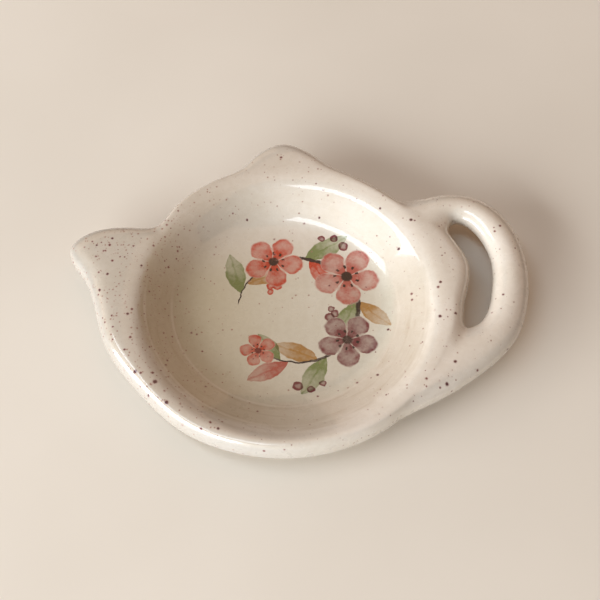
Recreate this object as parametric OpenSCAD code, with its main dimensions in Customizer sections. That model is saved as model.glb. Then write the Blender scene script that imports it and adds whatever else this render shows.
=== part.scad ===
// Tea bag rest: a small stoneware dish in the outline of a teapot.
// The origin is the centre of the foot ring, on the table that it stands on.
// +X points to the handle, +Y to the peak of the lid, and +Z up.
// The dish is one fired piece. Its forms are separate solids that meet face to face.

/* [Bowl] */
// Radius of the level part of the floor, where the bowl starts to rise
bowl_r = 23; // [20:0.2:24]
// Radius of the floor, where it passes into the wall
floor_r = 25; // [24.2:0.2:26.4]
// Radius of the mouth, where the wall passes into the rim
mouth_r = 35.8; // [34:0.2:36.4]
// Height of the middle of the floor above the table
floor_z = 4.1; // [3.6:0.1:5]
// How much higher the edge of the level part is than its middle
floor_dish = 0.2; // [0:0.1:0.8]
// Height of the underside where the wall meets the rim
under_z = 4; // [3.4:0.1:5]

/* [Foot] */
// Outer radius of the foot ring
foot_r = 27; // [26.5:0.5:28.5]
// Width of the foot ring
foot_w = 4; // [2.5:0.1:8]
// Height of the foot ring
foot_h = 1.6; // [1:0.1:2.2]
// Radius of the foot ring's lower edges
foot_edge = 0.6; // [0.3:0.1:0.9]

/* [Rim] */
// Height of the rim's crown above the table
rim_z = 11.3; // [10.6:0.1:13]
// Radius of the rim's crown, where the bowl's rise ends
crown_r = 40; // [39:0.1:41]
// Distance over which the edge of the plain rim rounds over
edge_w = 3.2; // [2.6:0.1:3.6]
// Extra rounding for each millimetre that the outline reaches past the plain body
edge_spread = 0.25; // [0:0.05:0.4]
// How much the top falls for each millimetre past the crown
fall = 0.03; // [0:0.01:0.06]
// How much the underside rises for each millimetre past the mouth
under_rise = 0.05; // [0:0.01:0.08]
// Height of the outermost line of the edge
nose_z = 7.3; // [6.6:0.1:8]
// Height of the narrow upright band along that line
nose_h = 0.6; // [0.4:0.1:1]
// Radius of the body at the front
body_r = 42.6; // [42.2:0.1:44]

/* [Spout] */
// Distance from the origin to the tip of the spout
spout_r = 58.9; // [56:0.1:61]
// Direction of the tip, in degrees from +X
spout_turn = 165; // [163:0.5:167]
// Radius of the valley between the spout and the shoulder
valley_r = 40.3; // [39.6:0.1:41]

/* [Lid] */
// Distance from the origin to the peak of the lid
lid_r = 50.2; // [47:0.1:53]
// Direction of the peak, in degrees from +X
lid_turn = 91; // [88:0.5:94]

/* [Handle] */
// Distance from the origin to the outermost line of the handle
handle_r = 63.8; // [63:0.1:66]
// Most extra rounding that the handle and the gap's edges have
handle_spread = 1; // [0:0.1:1.2]
// Width of the finger gap
gap_w = 6; // [5.4:0.1:6.6]
// Radius of the arc that the gap follows
gap_bend = 26; // [25:0.5:28]
// Half of the angle that this arc spans
gap_span = 30; // [26:0.5:31]
// Where the middle of the gap lies along X
gap_x = 50.6; // [50:0.1:51]
// Where the middle of the gap lies along Y
gap_y = 7.7; // [7:0.1:8]

/* [Hidden] */

clay = "#e3d9c8";
bare_clay = "#c8ad8c";

// Steps of the floor's top, of each curve of the wall, and of each rounded corner of the foot
level_steps = 5;
curve_steps = 14;
edge_steps = 5;
turned = 96;

// Degrees between the upright sections of the plain rim and of the lobes, and rows of them at the handle
plain_step = 3;
lobe_step = 1.8;
root_rows = 15;
gap_rows = 20;

// How far the seams under the spout and the lid curve in from a straight run
seam_dip = 1.6;
// Width of the rim's round inner band, next to the mouth
lip_w = 2.4;
// Half of the angle over which the slope of the outline is taken
slope_step = 0.5;
// Stands for the distance to the gap where the gap lies on the other side of the dish
far = 1000;

// Where each lobe starts and ends round the rim, in degrees
lid_ends = [62, 122];
spout_ends = [149, 214];
handle_ends = [-50, 45];

// Turning points of the outline as direction and radius, counterclockwise from the lower handle root
outline = [
    [-60, body_r], [-50, body_r + 0.1], [-44, body_r + 0.5], [-39, body_r + 2], [-32, body_r + 5.3],
    [-26, handle_r - 12.8], [-18, handle_r - 8.7], [-11.7, handle_r - 5.5], [-6, handle_r - 3.5],
    [0, handle_r - 2.1], [6.4, handle_r - 0.9], [13, handle_r - 0.1], [20, handle_r - 0.1],
    [27, handle_r - 1.5], [33, handle_r - 5], [36, handle_r - 8.6], [38.5, handle_r - 13],
    [41, body_r + 3.9], [44.5, body_r + 0.3], [50, body_r - 0.3], [65, body_r - 0.1],
    [lid_turn - 16.5, body_r + 1], [lid_turn - 10, lid_r - 3.5], [lid_turn, lid_r],
    [lid_turn + 10, lid_r - 3.3], [lid_turn + 16.5, body_r + 0.8], [121, body_r - 0.9],
    [136, body_r - 2], [144.5, valley_r], [spout_turn - 15.5, valley_r + 1.1],
    [spout_turn - 11.3, spout_r - 9.4], [spout_turn - 7.7, spout_r - 4.5],
    [spout_turn - 3.6, spout_r - 1.3], [spout_turn, spout_r], [spout_turn + 4, spout_r - 3.3],
    [spout_turn + 9, spout_r - 8.6], [183, body_r + 5.2], [197, body_r + 4.2], [213, body_r + 2.2],
    [235, body_r + 0.9], [258, body_r], [280, body_r - 0.1]
];
turns = len(outline);

function polar(r, a) = [r * cos(a), r * sin(a)];
function blend(t) = t * t * (3 - 2 * t);
function within(a, ends) = a >= ends[0] - 0.001 && a <= ends[1] + 0.001;
function share(a, ends) = (a - ends[0]) / (ends[1] - ends[0]);

// The outline's turning points, counted past either end of the list
function turn(i) = outline[(i + turns) % turns] + [360 * floor(i / turns), 0];
function slope(i) = (turn(i + 1)[1] - turn(i - 1)[1]) / (turn(i + 1)[0] - turn(i - 1)[0]);

// Smooth curve between two turning points that keeps the slope at both
function between(a, p, q, slope_p, slope_q) =
    let (
        run = q[0] - p[0],
        t = (a - p[0]) / run
    )
    p[1] * (1 - blend(t)) + q[1] * blend(t)
    + run * t * (1 - t) * (slope_p * (1 - t) - slope_q * t);

// Radius of the outline in direction a
function outline_r(a) =
    let (
        b = a - 360 * floor((a - outline[0][0]) / 360),
        i = max([for (k = [0 : turns - 1]) if (outline[k][0] <= b) k])
    )
    between(b, turn(i), turn(i + 1), slope(i), slope(i + 1));

// The finger gap is a slot along an arc with round ends
gap_centre = [gap_x - gap_bend, gap_y];
function gap_end(side) = gap_centre + polar(gap_bend, side * gap_span);
function gap_distance(p) =
    let (
        q = p - gap_centre,
        a = atan2(q[1], q[0])
    )
    (abs(a) <= gap_span ? abs(norm(q) - gap_bend) : norm(p - gap_end(sign(a)))) - gap_w / 2;

// Direction of the ray that touches the gap's end, and how far out it touches
function gap_limit(side) =
    let (e = gap_end(side))
    atan2(e[1], e[0]) + side * asin(gap_w / 2 / norm(e));
function gap_touch(side) = sqrt(pow(norm(gap_end(side)), 2) - pow(gap_w / 2, 2));

// Radius of the gap's middle in direction a
function gap_middle(a) =
    let (
        u = polar(1, a),
        along = u * gap_centre,
        r = along + sqrt(pow(gap_bend, 2) - gap_centre * gap_centre + along * along),
        q = polar(r, a) - gap_centre,
        side = q[1] < 0 ? -1 : 1
    )
    abs(atan2(q[1], q[0])) <= gap_span ? r : u * gap_end(side);

// Radius at which the ray in direction a crosses the gap's edge, between an outer and an inner point
function gap_edge(a, solid_r, open_r, rounds = 30) =
    let (r = (solid_r + open_r) / 2)
    rounds == 0 ? r
    : gap_distance(polar(r, a)) > 0 ? gap_edge(a, r, open_r, rounds - 1)
    : gap_edge(a, solid_r, r, rounds - 1);

gap_ends = [gap_limit(-1), gap_limit(1)];

// The rim's outer line: the free edge, the gap's near edge, or the line where a lobe starts
function rim_line(a) =
    within(a, lid_ends)
    ? lobe_line(a, lid_ends)
    : within(a, spout_ends)
    ? lobe_line(a, spout_ends)
    : a > gap_ends[1] && a <= handle_ends[1]
    ? root_line(a, handle_ends[1], gap_ends[1], gap_touch(1))
    : a < gap_ends[0] && a >= handle_ends[0]
    ? root_line(a, handle_ends[0], gap_ends[0], gap_touch(-1))
    : a == gap_ends[1]
    ? gap_touch(1)
    : a == gap_ends[0]
    ? gap_touch(-1)
    : within(a, gap_ends)
    ? gap_edge(a, mouth_r, gap_middle(a))
    : outline_r(a);
function lobe_line(a, ends) =
    let (t = share(a, ends))
    outline_r(ends[0]) * (1 - t) + outline_r(ends[1]) * t - seam_dip * sin(180 * t);
function root_line(a, start, end, end_r) =
    let (start_r = outline_r(start))
    start_r + (end_r - start_r) * pow((a - start) / (end - start), 2);

// The handle's inner line: the rim's line at its roots, and the gap's far edge between them
function handle_line(a) =
    a > gap_ends[0] && a < gap_ends[1] ? gap_edge(a, outline_r(a), gap_middle(a)) : rim_line(a);

// Distance from a point of the rim or a lobe to the nearest free edge
function edge_distance(r, a) =
    let (
        climb = (outline_r(a + slope_step) - outline_r(a - slope_step)) / (2 * slope_step),
        lean = climb * 180 / PI / outline_r(a),
        outer = (outline_r(a) - r) / sqrt(1 + lean * lean),
        gap = abs(a) < 90 ? gap_distance(polar(r, a)) : far
    )
    max(0, min(outer, gap));
function round_w(a) =
    let (spread = edge_spread * max(0, outline_r(a) - body_r))
    edge_w + (within(a, handle_ends) ? min(handle_spread, spread) : spread);
function fullness(r, a) = sqrt(1 - pow(1 - min(1, edge_distance(r, a) / round_w(a)), 2));

// Height of the one smooth skin of the floor, the wall and the rim's top
function skin_z(r) =
    let (t = min(1, max(0, (r - bowl_r) / (crown_r - bowl_r))))
    floor_z + floor_dish * min(1, pow(r / bowl_r, 2))
    + (rim_z - floor_z - floor_dish) * (t - sin(360 * t) / (2 * PI))
    - fall * max(0, r - crown_r);

// Heights of the top and of the underside of the rim and its lobes
function top_z(r, a) =
    let (low = nose_z + nose_h / 2)
    low + (skin_z(r) - low) * fullness(r, a);
function bottom_z(r, a) =
    let (
        low = nose_z - nose_h / 2,
        under = under_z + under_rise * (r - mouth_r)
    )
    low + (under - low) * fullness(r, a);

// Upright section in direction a with its top and underside at the given radii
lip_shares = [0, 0.2, 0.45, 0.72];
side_shares = [0, 0.2, 0.42, 0.62, 0.8, 0.92, 0.98, 1];
lobe_shares = [0, 0.25, 0.48, 0.67, 0.82, 0.92, 0.98, 1];
loop_shares = [0, 0.02, 0.08, 0.18, 0.32, 0.5, 0.68, 0.82, 0.92, 0.98, 1];
function spaced(inner_r, outer_r, shares) = [for (s = shares) inner_r + (outer_r - inner_r) * s];
function section(a, radii) =
    let (last = len(radii) - 1)
    concat(
        [for (r = radii) concat(polar(r, a), top_z(r, a))],
        [for (i = [last : -1 : 0]) concat(polar(radii[i], a), bottom_z(radii[i], a))]
    );
function rim_section(a) =
    section(a, concat(
        spaced(mouth_r / cos(plain_step), mouth_r + lip_w, lip_shares),
        spaced(mouth_r + lip_w, rim_line(a), side_shares)
    ));
function lobe_section(a, inner_r, shares) = section(a, spaced(inner_r, outline_r(a), shares));

// Directions of the sections, evenly spaced or closer towards both ends
function even(start, end, step) =
    let (n = ceil((end - start) / step))
    [for (i = [0 : n]) start + (end - start) * i / n];
function eased(start, end, n) = [for (i = [0 : n]) start + (end - start) * (1 - cos(180 * i / n)) / 2];
function slowing(start, end, n) = [for (i = [0 : n]) start + (end - start) * sin(90 * i / n)];
function inside(list) = [for (i = [1 : len(list) - 2]) list[i]];
function rest(list) = [for (i = [1 : len(list) - 1]) list[i]];

handle_stations = concat(
    slowing(handle_ends[0], gap_ends[0], root_rows),
    inside(eased(gap_ends[0], gap_ends[1], gap_rows)),
    even(gap_ends[1], handle_ends[1], lobe_step)
);
lid_stations = even(lid_ends[0], lid_ends[1], 1.4 * lobe_step);
spout_stations = concat(
    even(spout_ends[0], spout_turn + 8, lobe_step),
    rest(even(spout_turn + 8, spout_ends[1], 2 * lobe_step))
);
rim_stations = concat(
    handle_stations,
    inside(even(handle_ends[1], lid_ends[0], plain_step)),
    lid_stations,
    inside(even(lid_ends[1], spout_ends[0], plain_step)),
    spout_stations,
    inside(even(spout_ends[1], handle_ends[0] + 360, plain_step))
);

// Solid through a row of sections with the same number of points, open or closed to a ring.
// A first or last section that has no width ends the solid in an upright edge.
module loft(sections, closed = false) {
    n = len(sections[0]);
    rows = len(sections);
    half = n / 2;
    shut = [for (s = sections) norm(s[0] - s[half - 1]) < 0.001];
    sides = [
        for (s = [0 : rows - (closed ? 1 : 2)], i = [0 : n - 1])
            let (
                next = (s + 1) % rows,
                a = corner(shut, n, s, i),
                b = corner(shut, n, next, i),
                c = corner(shut, n, next, (i + 1) % n),
                d = corner(shut, n, s, (i + 1) % n)
            )
            each [[a, b, c], [a, c, d]]
    ];
    caps = [
        for (k = [0 : half - 2])
            let (last = (rows - 1) * n)
            each concat(
                shut[0] ? [] : [[k, k + 1, n - 2 - k], [k, n - 2 - k, n - 1 - k]],
                shut[rows - 1]
                ? []
                : [
                    [last + k, last + n - 2 - k, last + k + 1],
                    [last + k, last + n - 1 - k, last + n - 2 - k]
                ]
            )
    ];
    faces = [for (f = sides) if (f[0] != f[1] && f[1] != f[2] && f[2] != f[0]) f];
    polyhedron([for (s = sections) each s], closed ? faces : concat(faces, caps));
}
function corner(shut, n, s, i) = s * n + (shut[s] ? (i < n / 2 ? 0 : n / 2) : i);

module foot_ring() {
    color(bare_clay)
    rotate_extrude($fn = turned)
    polygon(concat(
        [[foot_r, foot_h], [foot_r - foot_w, foot_h]],
        [for (i = [0 : edge_steps]) foot_corner(foot_r - foot_w + foot_edge, 180 + 90 * i / edge_steps)],
        [for (i = [0 : edge_steps]) foot_corner(foot_r - foot_edge, 270 + 90 * i / edge_steps)]
    ));
}
function foot_corner(r, a) = [r, foot_edge] + polar(foot_edge, a);

module floor() {
    color(clay)
    rotate_extrude($fn = turned)
    polygon(concat(
        [[0, foot_h], [floor_r, foot_h]],
        [for (i = [level_steps : -1 : 0]) skin_point(floor_r * i / level_steps)]
    ));
}
function skin_point(r) = [r, skin_z(r)];

module wall() {
    color(clay)
    rotate_extrude($fn = turned)
    polygon(concat(
        [[floor_r, foot_h]],
        [for (i = [0 : curve_steps]) wall_under(i / curve_steps)],
        [for (i = [curve_steps : -1 : 0]) skin_point(floor_r + (mouth_r - floor_r) * i / curve_steps)]
    ));
}
function wall_under(t) = [foot_r + (mouth_r - foot_r) * t, foot_h + (under_z - foot_h) * blend(t)];

module rim() {
    color(clay)
    loft([for (a = rim_stations) rim_section(a)], closed = true);
}

module spout() {
    color(clay)
    loft([for (a = spout_stations) lobe_section(a, rim_line(a), lobe_shares)]);
}

module lid() {
    color(clay)
    loft([for (a = lid_stations) lobe_section(a, rim_line(a), lobe_shares)]);
}

module handle() {
    color(clay)
    loft([for (a = handle_stations) lobe_section(a, handle_line(a), loop_shares)]);
}

foot_ring();
floor();
wall();
rim();
spout();
lid();
handle();
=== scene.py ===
"""Tea bag rest: a glazed stoneware dish in the outline of a teapot, on its bare clay foot."""
import logging
import math
from contextlib import contextmanager
from dataclasses import dataclass, field
from enum import Enum
from typing import Iterator

import bmesh
import bpy
from mathutils import Matrix, Vector


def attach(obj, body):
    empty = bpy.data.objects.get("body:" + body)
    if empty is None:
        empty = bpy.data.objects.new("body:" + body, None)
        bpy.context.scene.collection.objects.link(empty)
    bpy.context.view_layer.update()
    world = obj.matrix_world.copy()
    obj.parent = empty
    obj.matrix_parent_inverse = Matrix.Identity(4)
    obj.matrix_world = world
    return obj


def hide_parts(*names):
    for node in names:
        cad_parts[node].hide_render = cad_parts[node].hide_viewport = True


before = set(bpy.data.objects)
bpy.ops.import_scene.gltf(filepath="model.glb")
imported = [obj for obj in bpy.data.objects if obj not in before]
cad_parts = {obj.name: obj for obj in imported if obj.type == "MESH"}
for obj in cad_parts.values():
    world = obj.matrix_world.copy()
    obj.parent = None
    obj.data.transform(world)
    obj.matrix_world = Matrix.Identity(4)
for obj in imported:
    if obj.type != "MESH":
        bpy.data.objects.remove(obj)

log = logging.getLogger("tea_bag_rest")
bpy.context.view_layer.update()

# Millimetres to metres, and a hair's breadth in millimetres or degrees.
MM = 0.001
HAIR = 0.01

# A colour is red, green and blue, a span a start and an end, and a change a span with its result at both.
Colour = tuple[float, float, float]
Pair = tuple[float, float]
Span = tuple[float, float]
Change = tuple[float, float, float, float]
Socket = bpy.types.NodeSocket


def blend(t: float) -> float:
    """Ease from 0 to 1 as t goes from 0 to 1, level at both ends."""
    t = min(1.0, max(0.0, t))
    return t * t * (3 - 2 * t)


def run_up(r: float, start: float, end: float) -> float:
    """Follow a climb whose slope grows from 0 to 1.

    Args:
        r: Where to stop.
        start: Where the climb starts.
        end: Where its slope has come to 1, which it keeps.

    Returns:
        The height at r.
    """
    t = min(1.0, max(0.0, (r - start) / (end - start)))
    return (end - start) * t * t / 2 + max(0.0, r - end)


class SmoothCurve:
    """A smooth curve of one value over another, through a few turning points."""

    def __init__(self, points: list[Pair], period: float = 0.0) -> None:
        """Keep the turning points.

        Args:
            points: Pairs of place and value, in rising order of place.
            period: Length after which the curve repeats, or 0 for an open curve.
        """
        self.points = points
        self.period = period

    def turn(self, i: int) -> Pair:
        """Find a turning point, past either end of a repeating curve too.

        Args:
            i: The turning point's number.

        Returns:
            Its place and value.
        """
        count = len(self.points)
        if self.period:
            place, value = self.points[i % count]
            return place + self.period * (i // count), value
        return self.points[min(count - 1, max(0, i))]

    def slope(self, i: int) -> float:
        """Return the slope that the curve has at turning point i."""
        before, after = self.turn(i - 1), self.turn(i + 1)
        return (after[1] - before[1]) / (after[0] - before[0])

    def at(self, place: float) -> float:
        """Follow the curve to a place.

        Args:
            place: The place.

        Returns:
            The curve's value there.
        """
        if self.period:
            start = self.points[0][0]
            place = start + (place - start) % self.period
        i = max(k for k, p in enumerate(self.points) if p[0] <= place + 1e-9)
        if not self.period:
            i = min(i, len(self.points) - 2)
        (x0, y0), (x1, y1) = self.turn(i), self.turn(i + 1)
        run = x1 - x0
        t = (place - x0) / run
        ease = t * t * (3 - 2 * t)
        lean = self.slope(i) * (1 - t) - self.slope(i + 1) * t
        return y0 * (1 - ease) + y1 * ease + run * t * (1 - t) * lean


@contextmanager
def shaping(piece: bpy.types.Object) -> Iterator[None]:
    """Open a piece for shaping, and close it again.

    Args:
        piece: The piece to shape.
    """
    bpy.ops.object.select_all(action="DESELECT")
    piece.select_set(True)
    bpy.context.view_layer.objects.active = piece
    bpy.ops.object.mode_set(mode="EDIT")
    yield
    bpy.ops.object.mode_set(mode="OBJECT")


class Sheet:
    """A material's nodes, laid out step by step."""

    def __init__(self, name: str) -> None:
        """Start a material.

        Args:
            name: The material's name.
        """
        self.material = bpy.data.materials.new(name)
        self.material.use_nodes = True
        self.tree = self.material.node_tree
        self.shader = self.tree.nodes["Principled BSDF"]

    def add(self, kind: str, **settings: str) -> bpy.types.Node:
        """Add a node.

        Args:
            kind: The node's type.
            **settings: Its properties.

        Returns:
            The node.
        """
        node = self.tree.nodes.new(kind)
        for name, value in settings.items():
            setattr(node, name, value)
        return node

    def feed(self, socket: Socket, value: Socket | float | tuple[float, ...]) -> None:
        """Link a socket to another one, or set its own value.

        Args:
            socket: The socket to feed.
            value: The socket that it reads, or a number, a vector or a colour.
        """
        if isinstance(value, Socket):
            self.tree.links.new(value, socket)
        elif socket.type == "RGBA":
            socket.default_value = (*value, 1.0)
        else:
            socket.default_value = value

    def place(self) -> Socket:
        """Return the place on the piece, in millimetres."""
        place = self.add("ShaderNodeTexCoord").outputs["Object"]
        return self.vector("MULTIPLY", place, (1 / MM, 1 / MM, 1 / MM))

    def math(self, operation: str, *values: Socket | float) -> Socket:
        """Work out a sum on numbers.

        Args:
            operation: The kind of sum.
            *values: The numbers.

        Returns:
            The result's socket.
        """
        node = self.add("ShaderNodeMath", operation=operation)
        for socket, value in zip(node.inputs, values):
            self.feed(socket, value)
        return node.outputs[0]

    def times(self, one: Socket, other: Socket | float) -> Socket:
        """Return the product of two numbers."""
        return self.math("MULTIPLY", one, other)

    def apart(self, one: Socket, other: float) -> Socket:
        """Return how far two numbers are apart."""
        return self.math("ABSOLUTE", self.math("SUBTRACT", one, other))

    def hypot(self, along: Socket, beside: Socket) -> Socket:
        """Return how far a place is, from how far it lies along and beside."""
        return self.math("SQRT", self.math("ADD", self.times(along, along), self.times(beside, beside)))

    def vector(self, operation: str, *values: Socket | tuple[float, float, float]) -> Socket:
        """Work out a sum on vectors.

        Args:
            operation: The kind of sum.
            *values: The vectors.

        Returns:
            The result's socket, a number for a length or a distance.
        """
        node = self.add("ShaderNodeVectorMath", operation=operation)
        for socket, value in zip(node.inputs, values):
            self.feed(socket, value)
        return node.outputs["Value" if operation in ("LENGTH", "DISTANCE") else "Vector"]

    def flat(self, place: Socket) -> Socket:
        """Return a place without its height."""
        return self.vector("MULTIPLY", place, (1, 1, 0))

    def out(self, place: Socket) -> Socket:
        """Return how far out from the dish's middle a place lies."""
        return self.vector("LENGTH", self.flat(place))

    def parts(self, vector: Socket) -> tuple[Socket, Socket, Socket]:
        """Take a vector or a colour apart.

        Args:
            vector: The vector or colour.

        Returns:
            Its three numbers.
        """
        node = self.add("ShaderNodeSeparateXYZ")
        self.feed(node.inputs[0], vector)
        return node.outputs[0], node.outputs[1], node.outputs[2]

    def ease(self, value: Socket, start: float, end: float, low: float = 0.0, high: float = 1.0) -> Socket:
        """Change smoothly from low to high while a value goes from start to end.

        Args:
            value: The value that drives the change.
            start: Where the change starts.
            end: Where it ends, which may lie below the start.
            low: The result at the start.
            high: The result at the end.

        Returns:
            The result's socket.
        """
        node = self.add("ShaderNodeMapRange", interpolation_type="SMOOTHSTEP")
        for socket, number in zip(node.inputs, (value, start, end, low, high)):
            self.feed(socket, number)
        return node.outputs[0]

    def clouds(self, place: Socket, scale: float, detail: float = 2.0) -> bpy.types.Node:
        """Add cloudy noise.

        Args:
            place: The place in millimetres.
            scale: Clouds per millimetre.
            detail: How many finer layers the clouds have.

        Returns:
            The noise's node.
        """
        node = self.add("ShaderNodeTexNoise")
        self.feed(node.inputs["Vector"], place)
        node.inputs["Scale"].default_value = scale
        node.inputs["Detail"].default_value = detail
        return node

    def stray(self, place: Socket, scale: float, reach: float) -> Socket:
        """Make places stray, for edges that aren't straight.

        Args:
            place: The place in millimetres.
            scale: Bends per millimetre.
            reach: Twice about how far a place strays.

        Returns:
            The strayed place.
        """
        tint = self.clouds(place, scale).outputs[1]
        centred = self.vector("SUBTRACT", tint, (0.5, 0.5, 0.5))
        return self.vector("ADD", place, self.vector("MULTIPLY", centred, (reach, reach, reach)))

    def relief(self, place: Socket, scale: float, depth: float) -> Socket:
        """Return a cloudy height of up to a depth in millimetres."""
        return self.times(self.clouds(place, scale).outputs[0], depth)

    def blend(self, share: Socket, below: Socket | Colour, above: Socket | Colour,
              mode: str = "MIX") -> Socket:
        """Lay a colour over another one.

        Args:
            share: How much of it covers the other.
            below: The colour below.
            above: The colour above.
            mode: How the two are mixed.

        Returns:
            The mixed colour.
        """
        node = self.add("ShaderNodeMix", data_type="RGBA", blend_type=mode)
        self.feed(node.inputs[0], share)
        self.feed(node.inputs[6], below)
        self.feed(node.inputs[7], above)
        return node.outputs[2]

    def tint(self, share: Socket, below: Socket, tint: Colour) -> Socket:
        """Return a colour that a tint multiplies by its share."""
        return self.blend(share, below, tint, mode="MULTIPLY")

    def bump(self, height: Socket) -> Socket:
        """Raise the skin by a height.

        Args:
            height: The height in millimetres.

        Returns:
            The skin's normal.
        """
        node = self.add("ShaderNodeBump")
        node.inputs["Strength"].default_value = 1.0
        node.inputs["Distance"].default_value = MM
        self.feed(node.inputs["Height"], height)
        return node.outputs[0]


@dataclass(frozen=True)
class Cloud:
    """Cloudy noise, and what its thin and its thick stretches give."""

    scale: float
    detail: float
    thin: float
    thick: float
    low: float = 0.0
    high: float = 1.0

    def over(self, sheet: Sheet, place: Socket) -> Socket:
        """Return what the cloud gives at each place."""
        noise = sheet.clouds(place, self.scale, self.detail).outputs[0]
        return sheet.ease(noise, self.thin, self.thick, self.low, self.high)


class Wash(Enum):
    """The washes of colour in the print, as what they leave of the glaze's colour below them."""

    CORAL = (0.72, 0.07, 0.03)
    ROSE = (0.62, 0.15, 0.13)
    PLUM = (0.24, 0.045, 0.07)
    SAGE = (0.26, 0.35, 0.14)
    OCHRE = (0.58, 0.32, 0.10)
    CHARCOAL = (0.03, 0.016, 0.02)


@dataclass(frozen=True)
class Brush:
    """What all strokes of the print share: the place, the bare glaze, and how the pigment clouds."""

    sheet: Sheet
    place: Socket
    ground: Socket
    grain: Socket
    clearing: float = 0.94

    def lay(self, below: Socket, wash: Wash, cover: Socket) -> Socket:
        """Return the colour with a wash, by how much of it lies at each place."""
        return self.sheet.tint(self.sheet.times(cover, self.grain), below, wash.value)

    def clear(self, below: Socket, cover: Socket) -> Socket:
        """Leave the glaze nearly bare where a motif hides what was painted before it."""
        return self.sheet.blend(self.sheet.times(cover, self.clearing), below, self.ground)

    def local(self, x: float, y: float, turn: float) -> tuple[Socket, Socket]:
        """Measure how far each place lies along and beside a stroke.

        Args:
            x: The stroke's middle along X, in millimetres.
            y: The stroke's middle along Y.
            turn: The stroke's direction in degrees.

        Returns:
            The distances along and beside the stroke.
        """
        rotate = self.sheet.add("ShaderNodeVectorRotate", rotation_type="Z_AXIS")
        self.sheet.feed(rotate.inputs["Vector"], self.sheet.vector("SUBTRACT", self.place, (x, y, 0.0)))
        rotate.inputs["Angle"].default_value = math.radians(-turn)
        along, beside, _ = self.sheet.parts(rotate.outputs[0])
        return along, beside


@dataclass(frozen=True)
class Leaf:
    """A leaf in one pressed stroke, pointed at both ends, with a fine rib."""

    x: float
    y: float
    turn: float
    length: float
    width: float
    wash: Wash
    outline: Span = (1.08, 0.94)
    ends: Span = (1.0, 0.97)
    thinnest: float = 0.001
    fading: Change = (-1.0, 0.9, 1.0, 0.48)
    brim: Change = (0.6, 0.97, 0.0, 0.14)
    rib: Change = (0.14, 0.04, 0.0, 0.2)

    def paint(self, brush: Brush, below: Socket) -> Socket:
        """Paint the leaf.

        Args:
            brush: What all strokes share.
            below: The colour below it.

        Returns:
            The colour with the leaf.
        """
        sheet = brush.sheet
        along, beside = brush.local(self.x, self.y, self.turn)
        u = sheet.math("DIVIDE", along, self.length / 2)
        v = sheet.math("DIVIDE", sheet.math("ABSOLUTE", beside), self.width / 2)
        taper = sheet.math("SUBTRACT", 1.0, sheet.times(u, u))
        edge = sheet.math("DIVIDE", v, sheet.math("MAXIMUM", taper, self.thinnest))
        inside = sheet.ease(edge, *self.outline)
        inside = sheet.times(inside, sheet.ease(sheet.math("ABSOLUTE", u), *self.ends))
        depth = sheet.math("ADD", sheet.ease(u, *self.fading), sheet.ease(edge, *self.brim))
        depth = sheet.math("ADD", depth, sheet.ease(v, *self.rib))
        return brush.lay(below, self.wash, sheet.times(inside, depth))


@dataclass(frozen=True)
class Blossom:
    """An open round blossom with broad petals and an eye in a ring of dots."""

    x: float
    y: float
    turn: float
    radius: float
    wash: Wash
    eye: Wash
    petals: int = 5
    roundness: float = 0.55
    notch: float = 0.5
    outline: Span = (1.04, 0.95)
    fading: Change = (0.12, 0.8, 1.0, 0.56)
    brim: Change = (0.7, 0.97, 0.0, 0.26)
    seams: Change = (0.06, 0.3, 0.4, 1.0)
    eye_edge: Span = (0.21, 0.13)
    dots: int = 9
    dot_ring: float = 0.34
    dot_length: Span = (0.065, 0.035)
    dot_width: Span = (0.84, 0.94)

    def rays(self, sheet: Sheet, direction: Socket, count: int) -> Socket:
        """Return 1 along each of some rays round the middle, and 0 between them."""
        return sheet.math("ABSOLUTE", sheet.math("COSINE", sheet.times(direction, count / 2)))

    def paint(self, brush: Brush, below: Socket) -> Socket:
        """Paint the blossom.

        Args:
            brush: What all strokes share.
            below: The colour below it.

        Returns:
            The colour with the blossom.
        """
        sheet = brush.sheet
        along, beside = brush.local(self.x, self.y, self.turn)
        away = sheet.hypot(along, beside)
        out = sheet.math("DIVIDE", away, self.radius)
        direction = sheet.math("ARCTAN2", beside, along)
        petal = self.rays(sheet, direction, self.petals)
        petal_round = sheet.math("POWER", petal, self.roundness)
        reach = sheet.math("MULTIPLY_ADD", petal_round, self.notch, 1 - self.notch)
        edge = sheet.math("DIVIDE", out, reach)
        inside = sheet.ease(edge, *self.outline)
        depth = sheet.math("ADD", sheet.ease(out, *self.fading), sheet.ease(edge, *self.brim))
        depth = sheet.times(depth, sheet.ease(petal, *self.seams))
        below = brush.clear(below, inside)
        colour = brush.lay(below, self.wash, sheet.times(inside, depth))
        start, end = self.eye_edge
        colour = brush.lay(colour, self.eye, sheet.ease(away, start * self.radius, end * self.radius))
        dots = self.rays(sheet, direction, self.dots)
        ring = sheet.ease(sheet.apart(out, self.dot_ring), *self.dot_length)
        return brush.lay(colour, Wash.CHARCOAL, sheet.times(sheet.ease(dots, *self.dot_width), ring))


@dataclass(frozen=True)
class Berry:
    """A small round touch of the brush, paler in its middle."""

    x: float
    y: float
    radius: float
    wash: Wash
    outline: Span = (1.12, 0.9)
    middle: Change = (0.2, 0.9, 0.62, 1.0)

    def paint(self, brush: Brush, below: Socket) -> Socket:
        """Paint the dot.

        Args:
            brush: What all strokes share.
            below: The colour below it.

        Returns:
            The colour with the dot.
        """
        sheet = brush.sheet
        away = sheet.vector("DISTANCE", sheet.flat(brush.place), (self.x, self.y, 0))
        edge = sheet.math("DIVIDE", away, self.radius)
        cover = sheet.times(sheet.ease(edge, *self.outline), sheet.ease(edge, *self.middle))
        return brush.lay(below, self.wash, cover)


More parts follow.
